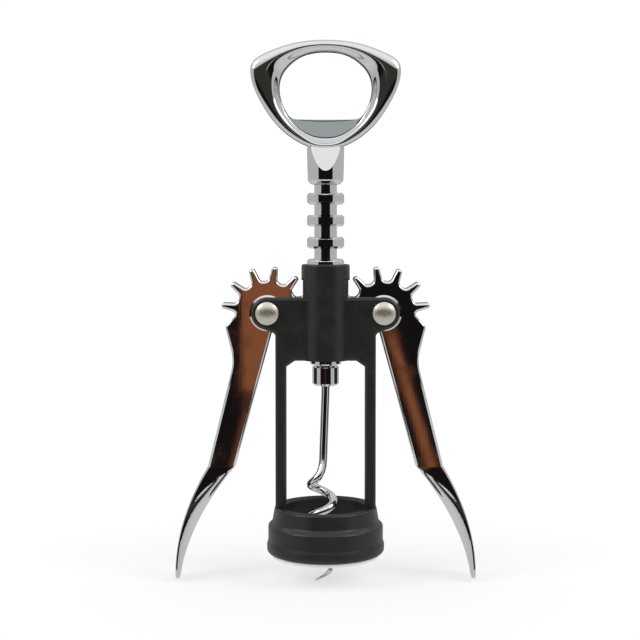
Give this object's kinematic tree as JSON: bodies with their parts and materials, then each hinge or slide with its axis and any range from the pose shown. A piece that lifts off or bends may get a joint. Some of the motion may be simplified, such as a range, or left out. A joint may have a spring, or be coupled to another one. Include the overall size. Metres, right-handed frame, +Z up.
{
  "type": "wing corkscrew",
  "caption": "Two-arm wing corkscrew with a ring rack, geared lever arms, a wire worm, a slotted frame on a bell, and a cap-lifter loop handle.",
  "frame": {"origin": "on the worm's axis, in the plane of the bell's lower edge, where the bottle's neck enters", "axes": "+Z up through the handle, +X across the arms to the viewer's right, +Y away from the viewer"},
  "size_m": [0.0968, 0.0382, 0.1747],
  "materials": {
    "black_enamel": "satin black",
    "nylon": "matte",
    "nickel": "satin nickel",
    "chrome": "bright chrome plate"
  },
  "bodies": {
    "frame": {"frame": "black_enamel", "bell_liner": "nylon", "left_rivet": "nickel", "right_rivet": "nickel", "left_rivet_cap": "nickel", "right_rivet_cap": "nickel"},
    "rack": {"rack_sleeve": "chrome"},
    "spindle": {"handle": "chrome", "worm": "chrome", "worm_collar": "chrome"},
    "left_arm": {"left_arm": "chrome"},
    "right_arm": {"right_arm": "chrome"}
  },
  "joints": [
    {"name": "rack_slide", "type": "slide", "parent": "frame", "child": "rack", "axis": [0, 0, 1], "range_m": [-0.0255, 0.0025]},
    {"name": "spindle_spin", "type": "hinge", "parent": "rack", "child": "spindle", "pos_m": [0, 0, 0], "axis": [0, 0, 1], "continuous": true},
    {"name": "left_arm_pivot", "type": "hinge", "parent": "frame", "child": "left_arm", "pos_m": [-0.0188, 0, 0.0782], "axis": [0, 1, 0], "range_deg": [-10.6, 107.7]},
    {"name": "right_arm_pivot", "type": "hinge", "parent": "frame", "child": "right_arm", "pos_m": [0.0188, 0, 0.0782], "axis": [0, 1, 0], "range_deg": [-107.7, 10.6]}
  ],
  "couplings": [
    {"joint": "left_arm_pivot", "follows": "rack_slide", "rad_per_m": -73.529},
    {"joint": "right_arm_pivot", "follows": "rack_slide", "rad_per_m": 73.529}
  ]
}
